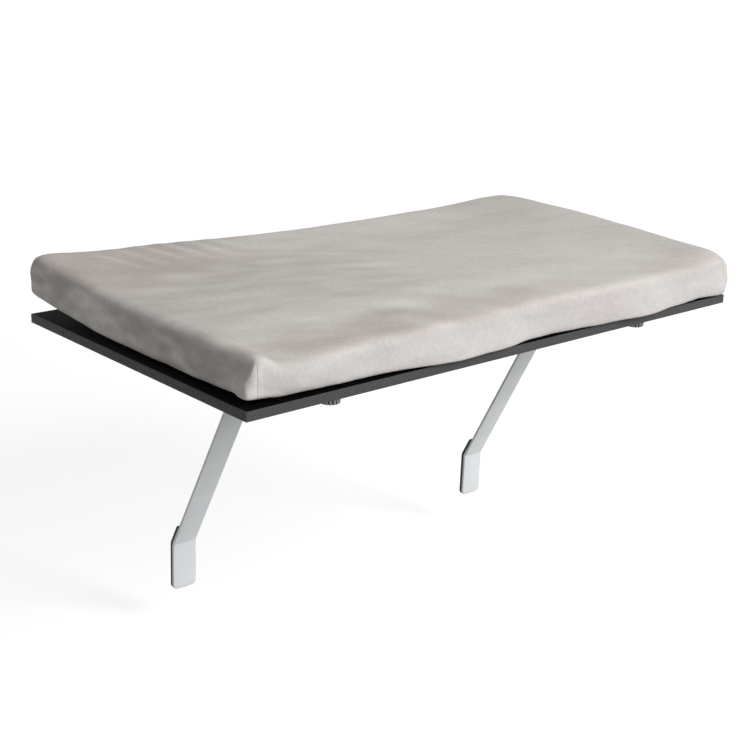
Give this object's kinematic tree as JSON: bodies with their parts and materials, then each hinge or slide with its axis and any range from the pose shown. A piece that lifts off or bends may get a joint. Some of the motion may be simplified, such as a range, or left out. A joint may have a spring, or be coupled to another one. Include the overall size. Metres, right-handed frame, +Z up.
{
  "type": "window cat perch",
  "caption": "Black board perch for a window sill on two bent white steel brackets with rubber feet and thumb knobs, with a grey plush cushion that lifts off.",
  "frame": {"origin": "middle of the width, on the top of the window sill, in the plane of the wall below the sill", "axes": "+X along the sill to the right as seen from the room, +Y into the window, +Z up"},
  "size_m": [0.656, 0.35, 0.3472],
  "materials": {
    "black_laminate": "satin melamine",
    "edge_band": "satin",
    "zinc": "bright zinc",
    "hook_tape": "woven, hooked",
    "loop_tape": "woven, looped",
    "white_powder_coat": "satin powder coat",
    "black_rubber": "matte",
    "grey_plastic": "moulded satin",
    "grey_plush": "brushed short pile",
    "base_cloth": "woven, rubber dots",
    "foam": "open cell foam",
    "zip_tape": "woven",
    "zip_teeth": "moulded",
    "zip_metal": "cast, polished"
  },
  "bodies": {
    "perch": {"board": "black_laminate", "front_edge_band": "edge_band", "rear_edge_band": "edge_band", "left_edge_band": "edge_band", "right_edge_band": "edge_band", "tee_nuts": "zinc", "sill_loop_tape": "loop_tape", "sill_hook_tape": "hook_tape", "seat_hook_tapes": "hook_tape", "left_bracket": "white_powder_coat", "right_bracket": "white_powder_coat", "left_foot_pad": "black_rubber", "right_foot_pad": "black_rubber"},
    "left_front_washer": {"left_front_washer": "zinc"},
    "left_front_knob": {"left_front_knob": "grey_plastic", "left_front_stud": "zinc"},
    "left_rear_washer": {"left_rear_washer": "zinc"},
    "left_rear_knob": {"left_rear_knob": "grey_plastic", "left_rear_stud": "zinc"},
    "right_front_washer": {"right_front_washer": "zinc"},
    "right_front_knob": {"right_front_knob": "grey_plastic", "right_front_stud": "zinc"},
    "right_rear_washer": {"right_rear_washer": "zinc"},
    "right_rear_knob": {"right_rear_knob": "grey_plastic", "right_rear_stud": "zinc"},
    "cushion": {"cushion_cover": "grey_plush", "cushion_base": "base_cloth", "foam_core": "foam", "seat_loop_tapes": "loop_tape", "zip_tape": "zip_tape", "zip_teeth": "zip_teeth"},
    "zip_slider": {"zip_slider": "zip_metal"},
    "zip_pull": {"zip_pull": "zip_metal"}
  },
  "joints": [
    {"name": "left_front_knob_travel", "type": "slide", "parent": "perch", "child": "left_front_washer", "axis": [0, 0, -1], "range_m": [0, 0.0061]},
    {"name": "left_front_knob_turn", "type": "hinge", "parent": "left_front_washer", "child": "left_front_knob", "pos_m": [-0.211, -0.23, -0.0068], "axis": [0, 0, -1], "range_deg": [0, 2160]},
    {"name": "left_rear_knob_travel", "type": "slide", "parent": "perch", "child": "left_rear_washer", "axis": [0, 0, -1], "range_m": [0, 0.0061]},
    {"name": "left_rear_knob_turn", "type": "hinge", "parent": "left_rear_washer", "child": "left_rear_knob", "pos_m": [-0.211, -0.15, -0.0068], "axis": [0, 0, -1], "range_deg": [0, 2160]},
    {"name": "right_front_knob_travel", "type": "slide", "parent": "perch", "child": "right_front_washer", "axis": [0, 0, -1], "range_m": [0, 0.0061]},
    {"name": "right_front_knob_turn", "type": "hinge", "parent": "right_front_washer", "child": "right_front_knob", "pos_m": [0.211, -0.23, -0.0068], "axis": [0, 0, -1], "range_deg": [0, 2160]},
    {"name": "right_rear_knob_travel", "type": "slide", "parent": "perch", "child": "right_rear_washer", "axis": [0, 0, -1], "range_m": [0, 0.0061]},
    {"name": "right_rear_knob_turn", "type": "hinge", "parent": "right_rear_washer", "child": "right_rear_knob", "pos_m": [0.211, -0.15, -0.0068], "axis": [0, 0, -1], "range_deg": [0, 2160]},
    {"name": "cushion_lift", "type": "slide", "parent": "perch", "child": "cushion", "axis": [0, 0, 1], "range_m": [0, 0.1]},
    {"name": "zip_open", "type": "slide", "parent": "cushion", "child": "zip_slider", "axis": [1, 0, 0], "range_m": [0, 0.244]},
    {"name": "pull_swing", "type": "hinge", "parent": "zip_slider", "child": "zip_pull", "pos_m": [-0.092, 0.08875, 0.0355], "axis": [0, 0, -1], "range_deg": [0, 175]}
  ],
  "couplings": [
    {"joint": "left_front_knob_travel", "follows": "left_front_knob_turn", "m_per_rad": 0.00015915},
    {"joint": "left_rear_knob_travel", "follows": "left_rear_knob_turn", "m_per_rad": 0.00015915},
    {"joint": "right_front_knob_travel", "follows": "right_front_knob_turn", "m_per_rad": 0.00015915},
    {"joint": "right_rear_knob_travel", "follows": "right_rear_knob_turn", "m_per_rad": 0.00015915}
  ]
}
